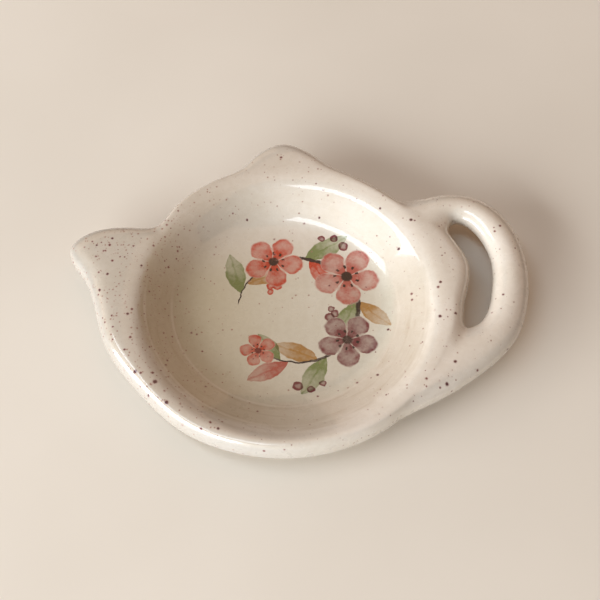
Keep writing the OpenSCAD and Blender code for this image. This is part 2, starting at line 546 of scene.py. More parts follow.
@dataclass(frozen=True)
class Stem:
    """A thin arc drawn with the tip of the brush, swelling towards its middle."""

    x: float
    y: float
    radius: float
    start: float
    span: float
    width: float
    tip_share: float = 0.12
    swell: Span = (1.0, 0.2)
    outline: Span = (1.3, 0.7)
    ends: Span = (1.0, 0.97)

    def paint(self, brush: Brush, below: Socket) -> Socket:
        """Paint the stem.

        Args:
            brush: What all strokes share.
            below: The colour below it.

        Returns:
            The colour with the stem.
        """
        sheet = brush.sheet
        along, beside = brush.local(self.x, self.y, self.start + self.span / 2)
        away = sheet.hypot(along, beside)
        direction = sheet.math("DEGREES", sheet.math("ARCTAN2", beside, along))
        share = sheet.math("DIVIDE", sheet.math("ABSOLUTE", direction), abs(self.span) / 2)
        width = sheet.ease(share, *self.swell, self.tip_share * self.width, self.width / 2)
        edge = sheet.math("DIVIDE", sheet.apart(away, self.radius), width)
        cover = sheet.times(sheet.ease(edge, *self.outline), sheet.ease(share, *self.ends))
        return brush.lay(below, Wash.CHARCOAL, cover)


@dataclass(frozen=True)
class Garland:
    """A plain open garland of round blossoms, leaves and dots, painted on the floor."""

    x: float = 3.2
    y: float = -0.8
    radius: float = 15.4
    leaf_width: float = 0.4
    leaf_middle: float = 0.52
    blossom_turn: float = 20.0
    berry_step: float = 8.0
    berry_wave: float = 1.1
    berry_radii: tuple[float, ...] = (1.25, 1.05, 0.85)
    # Bends per millimetre, and about twice their reach.
    unsteady: Pair = (0.5, 1.0)
    grain: Cloud = Cloud(1.3, 3.0, 0.25, 0.75, 0.9, 1.15)
    pooling: Cloud = Cloud(0.22, 2.0, 0.3, 0.7, 0.84, 1.18)
    below_rim: Span = (7.0, 6.0)
    above_foot: Span = (2.8, 3.2)

    def spot(self, direction: float, out: float = 0.0) -> Pair:
        """Find a spot on the garland's arc, or beside it.

        Args:
            direction: The direction from the arc's middle, in degrees.
            out: How far outside the arc it lies, in millimetres.

        Returns:
            The spot's place along X and Y.
        """
        a = math.radians(direction)
        r = self.radius + out
        return round(self.x + r * math.cos(a), 2), round(self.y + r * math.sin(a), 2)

    def leaf(self, direction: float, lean: float, length: float, wash: Wash) -> Leaf:
        """Grow a leaf that leans off the arc, outwards for a positive lean.

        Args:
            direction: Where it grows from the arc, in degrees.
            lean: The angle between the leaf and the arc.
            length: Its length in millimetres.
            wash: Its colour.

        Returns:
            The leaf.
        """
        x, y = self.spot(direction)
        turn = direction - 90 + lean
        a = math.radians(turn)
        middle = self.leaf_middle * length
        width = self.leaf_width * length
        return Leaf(x + middle * math.cos(a), y + middle * math.sin(a), turn, length, width, wash)

    def blossom(self, direction: float, out: float, radius: float, wash: Wash, eye: Wash) -> Blossom:
        """Return a blossom on the arc or beside it."""
        x, y = self.spot(direction, out)
        return Blossom(x, y, direction + self.blossom_turn, radius, wash, eye)

    def berries(self, direction: float, out: float, wash: Wash) -> list[Berry]:
        """Dab dots in a loose row, each smaller than the one before it.

        Args:
            direction: The first dot's direction from the arc's middle, in degrees.
            out: How far outside the arc the row lies, in millimetres.
            wash: Their colour.

        Returns:
            The dots.
        """
        row = []
        for i, radius in enumerate(self.berry_radii):
            x, y = self.spot(direction + self.berry_step * i, out + self.berry_wave * (i % 2))
            row.append(Berry(x, y, radius, wash))
        return row

    def motifs(self) -> list[Stem | Leaf | Berry | Blossom]:
        """List all that is painted.

        Returns:
            The motifs, from the lowest layer up.
        """
        return [
            Stem(self.x, self.y, self.radius, 176.0, -306.0, 1.15),
            self.leaf(163, 32, 12.5, Wash.SAGE), self.leaf(150, -38, 10.5, Wash.OCHRE),
            self.leaf(84, 36, 13.0, Wash.SAGE), self.leaf(80, -44, 11.5, Wash.CORAL),
            self.leaf(8, 40, 11.0, Wash.OCHRE), self.leaf(10, -36, 12.5, Wash.SAGE),
            self.leaf(-62, 32, 12.5, Wash.SAGE), self.leaf(-70, -40, 12.0, Wash.OCHRE),
            self.leaf(-98, 34, 11.5, Wash.ROSE), self.leaf(-106, -36, 9.5, Wash.SAGE),
            *self.berries(58, 7.2, Wash.PLUM), *self.berries(-16, -7.0, Wash.PLUM),
            *self.berries(128, -6.6, Wash.CORAL), *self.berries(-90, 6.6, Wash.PLUM),
            self.blossom(114, 0.4, 7.8, Wash.CORAL, Wash.CHARCOAL),
            self.blossom(38, 0.6, 8.6, Wash.ROSE, Wash.CHARCOAL),
            self.blossom(-36, 0.0, 7.6, Wash.PLUM, Wash.CHARCOAL),
            self.blossom(-130, 0.2, 4.6, Wash.CORAL, Wash.PLUM),
        ]

    def paint(self, sheet: Sheet, place: Socket, below: Socket) -> Socket:
        """Paint the garland under the glaze.

        Args:
            sheet: The glaze's nodes.
            place: The place on the dish in millimetres.
            below: The glaze's own colour.

        Returns:
            The colour with the print.
        """
        grain = self.grain.over(sheet, place)
        pooling = self.pooling.over(sheet, place)
        brush = Brush(sheet, sheet.stray(place, *self.unsteady), below, sheet.times(grain, pooling))
        colour = below
        for motif in self.motifs():
            colour = motif.paint(brush, colour)
        _, _, height = sheet.parts(place)
        on_floor = sheet.times(sheet.ease(height, *self.below_rim), sheet.ease(height, *self.above_foot))
        return sheet.blend(on_floor, below, colour)


@dataclass(frozen=True)
class Stain:
    """What a speck of iron leaves in the glaze: a dark core, and a halo as wide as it bleeds."""

    core: Colour
    halo: Colour
    bleed: float
    strength: float
    halo_start: float = 0.7
    halo_share: float = 0.5
    core_edge: Span = (1.15, 0.55)

    def bleed_in(self, sheet: Sheet, away: Socket, there: Socket, below: Socket) -> Socket:
        """Lay the stain over the glaze.

        Args:
            sheet: The glaze's nodes.
            away: The distance from the speck's middle, in its radii.
            there: 1 where the speck shows, and 0 elsewhere.
            below: The colour below it.

        Returns:
            The colour with the stain.
        """
        strength = sheet.times(there, self.strength)
        halo = sheet.ease(away, self.bleed, self.halo_start, 0.0, self.halo_share)
        halo = sheet.times(halo, strength)
        core = sheet.times(sheet.ease(away, *self.core_edge), strength)
        return sheet.blend(core, sheet.blend(halo, below, self.halo), self.core)


@dataclass(frozen=True)
class Specks:
    """Iron specks of one size, strewn through the clay, fewer on the right and on the floor."""

    cell: float
    least: float
    most: float
    share: float
    stain: Stain
    to_left: Change = (-8.0, -36.0, 0.2, 1.0)
    off_floor: Change = (24.0, 32.0, 0.5, 1.0)

    def scatter(self, sheet: Sheet, place: Socket, below: Socket) -> Socket:
        """Scatter the specks through the clay.

        Args:
            sheet: The glaze's nodes.
            place: The place on the dish in millimetres.
            below: The colour below them.

        Returns:
            The colour with the specks.
        """
        cells = sheet.add("ShaderNodeTexVoronoi")
        sheet.feed(cells.inputs["Vector"], place)
        cells.inputs["Scale"].default_value = 1 / self.cell
        chance, size, _ = sheet.parts(cells.outputs["Color"])
        middle = cells.outputs["Position"]
        across, _, _ = sheet.parts(middle)
        out = sheet.out(middle)
        dense = sheet.times(sheet.ease(across, *self.to_left), sheet.ease(out, *self.off_floor))
        there = sheet.math("LESS_THAN", chance, sheet.times(dense, self.share))
        radius = sheet.math("MULTIPLY_ADD", sheet.times(size, size), self.most - self.least, self.least)
        away = sheet.math("DIVIDE", sheet.times(cells.outputs["Distance"], self.cell), radius)
        return self.stain.bleed_in(sheet, away, there, below)


@dataclass(frozen=True)
class LargeSpecks:
    """The largest iron specks, each by its place on the dish's upper side and its radius."""

    stain: Stain = Stain((0.075, 0.012, 0.016), (0.30, 0.11, 0.11), 1.7, 0.95)
    far: float = 9.0
    upper_side: Span = (4.0, 4.1)
    spots: tuple[tuple[float, float, float], ...] = (
        (-27.6, -30.3, 0.52), (-30.7, -24.9, 0.55), (-35.7, -22.2, 0.46), (-32.1, -28.0, 0.32),
        (-15.2, -36.9, 0.36), (-38.9, -6.3, 0.36), (-45.1, 5.5, 0.34), (-46.7, 0.9, 0.34),
        (-45.0, 16.5, 0.34), (-36.7, 8.0, 0.32), (-48.8, 14.4, 0.28), (-10.5, 25.9, 0.28),
        (24.9, 26.3, 0.3), (32.8, 22.2, 0.42), (29.4, 14.7, 0.36), (39.1, 3.0, 0.36),
        (38.3, -6.9, 0.42), (42.2, -6.1, 0.36), (41.0, -19.5, 0.4), (38.7, -25.0, 0.42),
        (22.6, -20.9, 0.34), (25.9, -7.4, 0.32), (8.9, 26.6, 0.28),
    )

    def set_in(self, sheet: Sheet, place: Socket, ragged: Socket, below: Socket) -> Socket:
        """Set the specks into the glaze, each at its own place.

        Args:
            sheet: The glaze's nodes.
            place: The place on the dish in millimetres.
            ragged: The same place, strayed for ragged edges.
            below: The colour below them.

        Returns:
            The colour with the specks.
        """
        flat = sheet.flat(ragged)
        nearest = self.far
        for x, y, radius in self.spots:
            away = sheet.math("DIVIDE", sheet.vector("DISTANCE", flat, (x, y, 0)), radius)
            nearest = sheet.math("MINIMUM", away, nearest)
        _, _, height = sheet.parts(place)
        return self.stain.bleed_in(sheet, nearest, sheet.ease(height, *self.upper_side), below)


@dataclass(frozen=True)
class FingerLines:
    """The faint lines that the potter's fingers left round the wall, strongest at the front."""

    across_scale: float = 1.1
    round_scale: float = 3.0
    lines: Cloud = Cloud(0.9, 4.0, 0.48, 0.72, 0.0, 0.75)
    inner_end: Span = (27.0, 29.0)
    outer_end: Span = (39.0, 36.5)
    front: Change = (12.0, -16.0, 0.25, 1.0)

    def over(self, sheet: Sheet, place: Socket, out: Socket) -> Socket:
        """Draw the lines.

        Args:
            sheet: The glaze's nodes.
            place: The place on the dish in millimetres.
            out: The distance from the dish's middle.

        Returns:
            How strongly a line shows at each place.
        """
        x, y, _ = sheet.parts(place)
        round_about = sheet.times(sheet.math("ARCTAN2", y, x), self.round_scale)
        turned = sheet.add("ShaderNodeCombineXYZ")
        sheet.feed(turned.inputs[0], sheet.times(out, self.across_scale))
        sheet.feed(turned.inputs[1], round_about)
        lines = self.lines.over(sheet, turned.outputs[0])
        band = sheet.times(sheet.ease(out, *self.inner_end), sheet.ease(out, *self.outer_end))
        return sheet.times(lines, sheet.times(band, sheet.ease(y, *self.front)))


@dataclass(frozen=True)
class SpeckledGlaze:
    """Glossy cream glaze over speckled stoneware, with a print on the floor under it."""

    # The floor and the wall are darker than the rim, partly from the glaze's own tone and partly from
    # painted shade on the front and the left; back_reach fades them to the rim's colour towards the back.
    floor: Colour = (0.660, 0.605, 0.505)
    wall: Colour = (0.660, 0.580, 0.485)
    rim: Colour = (0.765, 0.690, 0.605)
    floor_ring: Span = (27.4, 29.4)
    mouth_ring: Span = (35.2, 37.0)
    # Painted shade on the floor and wall towards the left: browner and less blue, from x 14 mm to x -26
    # mm.
    left_wall_shade: Colour = (0.95, 0.91, 0.80)
    left_wall_shade_reach: Span = (14.0, -26.0)
    back_reach: Change = (2.0, 26.0, 0.0, 0.9)
    # thin is painted shade: the whole glaze grows darker towards the left, from x 22 mm to x -42 mm.
    thin: Colour = (0.76, 0.735, 0.70)
    left_shade_reach: Span = (22.0, -42.0)
    # Painted shade on the outer edge at the left and the front, where the edge faces the window lamp and
    # would otherwise render too bright.
    lit_edge_shade: Colour = (0.77, 0.80, 0.85)
    lit_edge_drop: Span = (12.3, 11.2)
    lit_edge_reach: Span = (24.0, -12.0)
    lit_edge_out: Span = (37.5, 42.0)
    rim_fall: float = 0.03
    # Paler lines round the floor's edge and round the mouth, fading towards the back.
    ring_line_tone: Colour = (0.74, 0.66, 0.57)
    paler_rings: tuple[float, ...] = (28.9, 35.3)
    ring_line: Change = (0.45, 0.1, 0.0, 0.35)
    ring_reach: Span = (10.0, -6.0)
    turned: Colour = (0.86, 0.82, 0.76)
    clouded: Colour = (0.955, 0.95, 0.93)
    mottled: Colour = (0.965, 0.955, 0.94)
    unevenness: Cloud = Cloud(0.12, 2.0, 0.2, 0.8, -0.8, 0.8)
    finger_lines: FingerLines = FingerLines()
    clouds: Cloud = Cloud(0.09, 3.0, 0.3, 0.7)
    mottle: Cloud = Cloud(0.7, 4.0, 0.35, 0.68)
    garland: Garland = Garland()
    # Bends per millimetre, and about twice their reach.
    ragged: Pair = (2.2, 0.32)
    brown: Specks = Specks(0.85, 0.08, 0.27, 0.9, Stain((0.25, 0.10, 0.07), (0.46, 0.29, 0.23), 1.8, 0.68))
    dark: Specks = Specks(1.6, 0.12, 0.37, 0.84, Stain((0.13, 0.020, 0.022), (0.36, 0.17, 0.15), 1.8, 0.9))
    large: LargeSpecks = LargeSpecks()
    roughness: Cloud = Cloud(0.35, 3.0, 0.3, 0.7, 0.25, 0.37)
    coat_ior: float = 1.6
    coat_roughness: float = 0.045
    # Clouds per millimetre, and their depth in millimetres.
    swell: Pair = (0.11, 0.05)
    peel: Pair = (0.8, 0.004)

    def body(self, sheet: Sheet, place: Socket, out: Socket) -> Socket:
        """Mix the glaze's colour, which pools cool on the floor and is browner on the wall, with painted
        shade on the left, on the front of the bowl and on the outer edge that faces the window lamp.

        Args:
            sheet: The glaze's nodes.
            place: The place on the dish in millimetres.
            out: The distance from the dish's middle.

        Returns:
            The colour without print and specks.
        """
        lift = sheet.math("ADD", out, self.unevenness.over(sheet, place))
        across, along, height = sheet.parts(place)
        inner = sheet.blend(sheet.ease(lift, *self.floor_ring), self.floor, self.wall)
        # Painted shade, browner, on the left of the floor and wall.
        inner = sheet.tint(sheet.ease(across, *self.left_wall_shade_reach), inner, self.left_wall_shade)
        # The painted shade fades out towards the back, where the floor and the wall take the rim's colour.
        inner = sheet.blend(sheet.ease(along, *self.back_reach), inner, self.rim)
        colour = sheet.blend(sheet.ease(lift, *self.mouth_ring), inner, self.rim)
        # Painted shade: the whole glaze darker towards the left.
        colour = sheet.tint(sheet.ease(across, *self.left_shade_reach), colour, self.thin)
        # Painted shade over the outer edge that faces the window lamp, at the left and the front.
        drop = sheet.ease(sheet.math("MULTIPLY_ADD", out, self.rim_fall, height), *self.lit_edge_drop)
        lit_edge_shade_share = sheet.times(drop, sheet.ease(across, *self.lit_edge_reach))
        lit_edge_shade_share = sheet.times(lit_edge_shade_share, sheet.ease(out, *self.lit_edge_out))
        colour = sheet.tint(lit_edge_shade_share, colour, self.lit_edge_shade)
        for ring in self.paler_rings:
            line = sheet.ease(sheet.apart(out, ring), *self.ring_line)
            line = sheet.times(line, sheet.ease(along, *self.ring_reach))
            colour = sheet.blend(line, colour, self.ring_line_tone)
        colour = sheet.tint(self.finger_lines.over(sheet, place, out), colour, self.turned)
        colour = sheet.tint(self.clouds.over(sheet, place), colour, self.clouded)
        return sheet.tint(self.mottle.over(sheet, place), colour, self.mottled)

    def mix(self) -> bpy.types.Material:
        """Mix the glaze.

        Returns:
            The finished material.
        """
        sheet = Sheet("speckled_glaze")
        place = sheet.place()
        out = sheet.out(place)
        colour = self.garland.paint(sheet, place, self.body(sheet, place, out))
        ragged = sheet.stray(place, *self.ragged)
        for specks in (self.brown, self.dark):
            colour = specks.scatter(sheet, ragged, colour)
        colour = self.large.set_in(sheet, place, ragged, colour)
        shader = sheet.shader
        sheet.feed(shader.inputs["Base Color"], colour)
        sheet.feed(shader.inputs["Roughness"], self.roughness.over(sheet, place))
        shader.inputs["Coat Weight"].default_value = 1.0
        shader.inputs["Coat IOR"].default_value = self.coat_ior
        shader.inputs["Coat Roughness"].default_value = self.coat_roughness
        swell = sheet.relief(place, *self.swell)
        peel = sheet.relief(place, *self.peel)
        normal = sheet.bump(sheet.math("ADD", swell, peel))
        sheet.feed(shader.inputs["Normal"], normal)
        sheet.feed(shader.inputs["Coat Normal"], normal)
        return sheet.material


@dataclass(frozen=True)
class BareClay:
    """Unglazed stoneware, sandy and a little worn where it meets the table."""

    pale: Colour = (0.44, 0.31, 0.20)
    dark: Colour = (0.30, 0.19, 0.115)
    clouds: Cloud = Cloud(0.25, 4.0, 0.3, 0.7)
    worn: Colour = (0.52, 0.40, 0.28)
    wear: Change = (0.25, 0.0, 0.0, 0.7)
    # Clouds per millimetre, and their detail.
    grit: Pair = (3.5, 3.0)
    grit_tint: Colour = (0.62, 0.55, 0.5)
    grit_edge: Span = (0.6, 0.72)
    grit_depth: float = 0.05
    roughness: Change = (0.3, 0.7, 0.82, 0.95)

    def mix(self) -> bpy.types.Material:
        """Mix the clay.

        Returns:
            The finished material.
        """
        sheet = Sheet("bare_clay")
        place = sheet.place()
        colour = sheet.blend(self.clouds.over(sheet, place), self.pale, self.dark)
        _, _, height = sheet.parts(place)
        colour = sheet.blend(sheet.ease(height, *self.wear), colour, self.worn)
        grit = sheet.clouds(place, *self.grit).outputs[0]
        colour = sheet.tint(sheet.ease(grit, *self.grit_edge), colour, self.grit_tint)
        sheet.feed(sheet.shader.inputs["Base Color"], colour)
        sheet.feed(sheet.shader.inputs["Roughness"], sheet.ease(grit, *self.roughness))
        sheet.feed(sheet.shader.inputs["Normal"], sheet.bump(sheet.times(grit, self.grit_depth)))
        return sheet.material


@dataclass(frozen=True)
class TablePaint:
    """Matt pale paint on the table, with a faint cloud in it."""

    colour: Colour = (0.80, 0.73, 0.64)
    shade: Colour = (0.76, 0.69, 0.60)
    clouds: Cloud = Cloud(0.012, 3.0, 0.3, 0.7)
    roughness: Cloud = Cloud(0.05, 2.0, 0.3, 0.7, 0.66, 0.76)

    def mix(self) -> bpy.types.Material:
        """Mix the paint.

        Returns:
            The finished material.
        """
        sheet = Sheet("table_paint")
        place = sheet.place()
        colour = sheet.blend(self.clouds.over(sheet, place), self.colour, self.shade)
        sheet.feed(sheet.shader.inputs["Base Color"], colour)
        sheet.feed(sheet.shader.inputs["Roughness"], self.roughness.over(sheet, place))
        return sheet.material


@dataclass
class Form:
    """Heights and widths of the dish in millimetres: those of the solids, and finer forms between them."""

    floor_z: float = 4.3
    floor_dish: float = 0.2
    dish_r: float = 23.0
    wall_foot: Span = (22.5, 28.3)
    wall_knee: Span = (36.2, 39.6)
    mouth_shift: float = 2.0
    mouth_turn: float = 284.0
    shift_span: Span = (24.0, 36.0)
    back_ease: float = 1.7
    back_span: float = 0.7
    back_lead: float = 0.15
    # A turned line's radius and height.
    foot_ridge: Pair = (28.9, 0.045)
    mouth_groove: Pair = (35.9, -0.04)
    line_w: float = 0.6
    crown_r: float = 40.0
    under_z: float = 4.0
    under_r: float = 36.0
    under_rise: float = 0.05
    rim_z: float = 11.3
    edge_w: float = 2.6
    roll: float = 2.3
    edge_spread: float = 0.25
    fall: float = 0.03
    nose_z: float = 7.3
    body_r: float = 42.6
    spout_r: float = 58.9
    spout_turn: float = 165.0
    valley_r: float = 40.0
    lid_r: float = 50.2
    lid_turn: float = 91.0

    def shift(self, r: float, direction: float) -> float:
        """Measure how far the wall and the rim lie out of true, as the mouth isn't quite central.

        Args:
            r: The distance from the middle in millimetres.
            direction: The direction from the middle in degrees.

        Returns:
            The shift outwards in millimetres.
        """
        lean = self.mouth_shift * math.cos(math.radians(direction - self.mouth_turn))
        start, end = self.shift_span
        return lean * blend((r - start) / (end - start))

    def back_share(self, direction: float) -> float:
        """Return how far the front's crisper forms have given way to the back's softer ones."""
        return blend(math.sin(math.radians(direction)) / self.back_span + self.back_lead)

    def surface(self, r: float, direction: float = 0.0) -> float:
        """Work out the height of the floor, the wall and the rim's top.

        Args:
            r: The distance from the middle in millimetres.
            direction: The direction from the middle in degrees.

        Returns:
            The height in millimetres.
        """
        near = r - self.shift(r, direction)
        sink = self.floor_dish * max(0.0, 1 - (r / self.dish_r) ** 2)
        run = sum(self.wall_knee) / 2 - sum(self.wall_foot) / 2
        back = self.back_share(direction)
        knee = (self.wall_knee[0] - self.back_ease * back, self.wall_knee[1] + self.back_ease * back)
        climb = (run_up(near, *self.wall_foot) - run_up(near, *knee)) / run
        past_knee = max(0.0, near - self.wall_knee[1])
        lines = 0.0
        for place, height in (self.foot_ridge, self.mouth_groove):
            lines += (1 - back) * height * blend(1 - abs(near - place) / self.line_w)
        return self.floor_z - sink + (self.rim_z - self.floor_z) * climb - self.fall * past_knee + lines

    def under(self, r: float) -> float:
        """Return the height of the underside at a distance from the middle."""
        return self.under_z + self.under_rise * (r - self.under_r)

    def body_line(self) -> SmoothCurve:
        """Draw the outline of the body with its spout and lid.

        Returns:
            The radius in millimetres over the direction in degrees.
        """
        body, spout, turn = self.body_r, self.spout_r, self.spout_turn
        return SmoothCurve([
            (-60, body + 0.1), (-48, body + 0.3), (-30, body + 1.4), (-13, body + 2.6), (-7, body + 2.5),
            (-2, body + 2.7), (3, body + 3.9), (9, body + 5.6), (14, body + 6.1), (20, body + 5.2),
            (26, body + 4.6), (34, body + 2.6), (43, body + 0.2), (50, body - 0.3), (65, body - 0.1),
            (self.lid_turn - 16.5, body + 1.0), (self.lid_turn - 10, self.lid_r - 3.5),
            (self.lid_turn, self.lid_r), (self.lid_turn + 10, self.lid_r - 3.6),
            (self.lid_turn + 16.5, body - 0.2), (121, body - 1.0), (136, body - 1.5),
            (144.5, self.valley_r), (turn - 15.5, self.valley_r + 1.1), (turn - 11.3, spout - 9.4),
            (turn - 7.7, spout - 4.5), (turn - 3.6, spout - 1.3), (turn, spout), (turn + 4, spout - 2.4),
            (turn + 9, spout - 7.3), (183, body + 5.7), (197, body + 3.9), (212, body + 1.6),
            (222, body + 0.8), (235, body + 0.7), (258, body), (280, body - 0.1),
        ], period=360)


class Ring(Enum):
    """The rings that the dish is turned in, from its floor over the rim to its underside."""

    FLOOR = 1
    FLOOR_EDGE = 2
    WELL_LOW = 3
    RIDGE_START = 4
    RIDGE = 5
    RIDGE_END = 6
    BAND_LOW = 7
    BAND_HIGH = 8
    GROOVE_START = 9
    GROOVE = 10
    GROOVE_END = 11
    MOUTH = 12
    LIP = 13
    CROWN = 14
    LOBE = 15
    EDGE = 16
    SIDE = 17
    BROW = 18
    NOSE = 19
    CHIN = 20
    UNDER_SIDE = 21
    UNDER_EDGE = 22
    UNDER_LOBE = 23
    UNDER_MOUTH = 24
    UNDER_WALL = 25
    UNDER_BAND = 26
    UNDER_WELL = 27
    UNDER_FLOOR = 28


@dataclass
class HandleRoute:
    """The handle's loop, as pairs of points on its inner and outer line, in millimetres."""

    pairs: list[tuple[Pair, Pair]] = field(default_factory=lambda: [
        ((43.6, 23.6), (36.9, 31.0)), ((45.6, 24.2), (42.3, 32.7)), ((48.2, 23.2), (49.6, 32.3)),
        ((50.6, 20.2), (55.9, 28.3)), ((52.4, 16.2), (60.1, 22.1)), ((53.5, 12.0), (62.2, 14.5)),
        ((53.5, 7.6), (62.6, 7.0)), ((52.8, 2.8), (61.7, 0.2)), ((51.8, -1.4), (60.0, -6.3)),
        ((50.4, -4.9), (57.3, -11.9)), ((48.4, -7.4), (52.5, -17.2)), ((46.3, -8.4), (46.4, -22.0)),
        ((44.7, -8.8), (38.8, -27.2)),
    ])
    round_w: float = 4.2
    # How far the section's corners stand above its middle, in degrees.
    corner: float = 30.0


@dataclass
class Dish:
    """The whole glazed dish as one skin of clay: bowl, rim, spout, lid and handle."""

    form: Form = field(default_factory=Form)
    handle: HandleRoute = field(default_factory=HandleRoute)
    meridians: int = 120
    root_faces: int = 8
    upper_root: int = 7
    lower_root: int = -12
    root_fullness: float = 0.97
    bowl_rings: dict[Ring, float] = field(default_factory=lambda: {
        Ring.FLOOR: 21.6, Ring.FLOOR_EDGE: 24.2, Ring.WELL_LOW: 26.4, Ring.RIDGE_START: 28.3,
        Ring.RIDGE: 28.9, Ring.RIDGE_END: 29.5, Ring.BAND_LOW: 31.4, Ring.BAND_HIGH: 33.5,
        Ring.GROOVE_START: 35.3, Ring.GROOVE: 35.9, Ring.GROOVE_END: 36.5, Ring.MOUTH: 37.3,
    })
    lip_w: float = 1.6
    crown_w: float = 1.9
    crown_share: float = 0.44
    round_share: float = 0.75
    round_most: float = 0.62
    # How far inside the edge each ring lies, as a share of the width over which the edge rounds.
    edge_rings: dict[Ring, float] = field(default_factory=lambda: {
        Ring.EDGE: 1.0, Ring.SIDE: 0.45, Ring.BROW: 0.1, Ring.NOSE: 0.0,
        Ring.CHIN: 0.1, Ring.UNDER_SIDE: 0.45, Ring.UNDER_EDGE: 1.0,
    })
    # The radius and the height of each ring inside the foot and beside it.
    under_rings: dict[Ring, Pair] = field(default_factory=lambda: {
        Ring.UNDER_MOUTH: (36.0, 4.0), Ring.UNDER_WALL: (33.0, 3.0), Ring.UNDER_BAND: (30.2, 2.05),
        Ring.UNDER_WELL: (28.0, 1.68), Ring.UNDER_FLOOR: (22.0, 1.6),
    })

    def __post_init__(self) -> None:
        """Work out the outline, and how the meridians lean towards the handle's roots."""
        self.outline = self.form.body_line()
        step = 360 / self.meridians
        low, high = self.lower_root * step, self.upper_root * step
        span = self.root_faces * step
        self.lean = SmoothCurve([
            (-180, -180), (-120, -120), (-90, -93), (low - HAIR, -48), (low + span, -9.6), (4, 6),
            (high, 25.5), (high + span, 43), (72, 71), (100, 100), (150, 150), (180, 180),
        ])

    def rim_round(self, direction: float) -> float:
        """Return the width over which the edge rounds over, wider on the spout and the lid."""
        reach = self.outline.at(direction) - self.form.body_r
        return self.form.edge_w + self.form.edge_spread * max(0.0, reach)

    def steepness(self, direction: float) -> float:
        """Measure how much nearer the edge is than it seems along a ray from the middle.

        Args:
            direction: The ray's direction in degrees.

        Returns:
            The true distance to the edge, as a share of the distance along the ray.
        """
        half = 0.5
        climb = (self.outline.at(direction + half) - self.outline.at(direction - half)) / (2 * half)
        return 1 / math.hypot(1, math.degrees(climb) / self.outline.at(direction))

    def root_share(self, meridian: int) -> float:
        """Measure how far a meridian runs under a root of the handle.

        Args:
            meridian: The meridian's number.

        Returns:
            1 under the root's middle, and 0 beside the roots.
        """
        for start in (self.lower_root, self.upper_root):
            inside = (meridian - start) / self.root_faces
            if 0 < inside < 1:
                return blend(4 * min(inside, 1 - inside))
        return 0.0

    def course(self, meridian: int, r: float) -> float:
        """Follow a meridian, straight from the floor and leaning over further out.

        Args:
            meridian: The meridian's number, from minus half their count.
            r: The distance from the middle in millimetres.

        Returns:
            Its direction from the middle in degrees.
        """
        straight = meridian * 360 / self.meridians
        floor_r = self.bowl_rings[Ring.FLOOR]
        lean_share = blend((r - floor_r) / (self.form.under_r - floor_r))
        return straight + (self.lean.at(straight) - straight) * lean_share

    def place(self, ring: Ring, meridian: int) -> Vector:
        """Find where a ring crosses a meridian.

        Args:
            ring: The ring.
            meridian: The meridian's number, from minus half their count.

        Returns:
            The point in metres, before the surface is smoothed.
        """
        form = self.form
        if ring in self.bowl_rings:
            r = self.bowl_rings[ring]
            angle = self.course(meridian, r)
            r += form.shift(r, angle)
            return self.polar(r, angle, form.surface(r, angle))
        if ring in self.under_rings:
            r, z = self.under_rings[ring]
            return self.polar(r, self.course(meridian, r), z)
        leaning = self.lean.at(meridian * 360 / self.meridians)
        edge = self.outline.at(leaning)
        lip = form.crown_r - self.lip_w + form.shift(form.crown_r, leaning)
        crown = lip + min(self.crown_w, self.crown_share * (edge - lip))
        steep = self.steepness(leaning)
        rim_round = self.rim_round(leaning)
        width = min(self.round_share * rim_round / steep, self.round_most * (edge - crown))
        if ring in self.edge_rings:
            radius = edge - self.edge_rings[ring] * width
        else:
            radius = {Ring.LIP: lip, Ring.CROWN: crown}.get(ring, (crown + edge - width) / 2)
        near = min(1.0, (edge - radius) * steep / rim_round)
        full = (1 - (1 - near) ** form.roll) ** (1 / form.roll)
        if not Ring.SIDE.value < ring.value < Ring.UNDER_SIDE.value:
            full = max(full, self.root_share(meridian) * self.root_fullness)
        if ring.value < Ring.NOSE.value:
            z = form.nose_z + (form.surface(radius, leaning) - form.nose_z) * full
        else:
            z = form.nose_z - (form.nose_z - form.under(radius)) * full
        return self.polar(radius, leaning, z)

    @staticmethod
    def polar(r: float, degrees: float, z: float) -> Vector:
        """Return the point at a distance and direction from the middle, in metres."""
        a = math.radians(degrees)
        return Vector((r * math.cos(a), r * math.sin(a), z)) * MM

    def turn_on_wheel(self) -> bpy.types.Object:
        """Turn the round dish ring by ring, and number its rings and meridians.

        Returns:
            The open dish.
        """
        floor_r = self.bowl_rings[Ring.FLOOR]
        bpy.ops.object.select_all(action="DESELECT")
        bpy.ops.mesh.primitive_circle_add(vertices=self.meridians, radius=floor_r * MM)
        clay = bpy.context.object
        clay.name = clay.data.name = "glazed_dish"
        with shaping(clay):
            mesh = bmesh.from_edit_mesh(clay.data)
            meridian = mesh.verts.layers.int.new("meridian")
            ring_number = mesh.verts.layers.int.new("ring")
            mesh.verts.layers.int.new("column")
            mesh.verts.layers.int.new("row")
            for v in mesh.verts:
                v[meridian] = round(math.degrees(math.atan2(v.co.y, v.co.x)) / 360 * self.meridians)
                v[ring_number] = Ring.FLOOR.value
            bmesh.update_edit_mesh(clay.data)
            bpy.ops.mesh.select_all(action="SELECT")
            for ring in list(Ring)[1:]:
                bpy.ops.mesh.extrude_edges_indiv()
                mesh = bmesh.from_edit_mesh(clay.data)
                ring_number = mesh.verts.layers.int["ring"]
                for v in mesh.verts:
                    if v.select:
                        v[ring_number] = ring.value
                bmesh.update_edit_mesh(clay.data)
        return clay

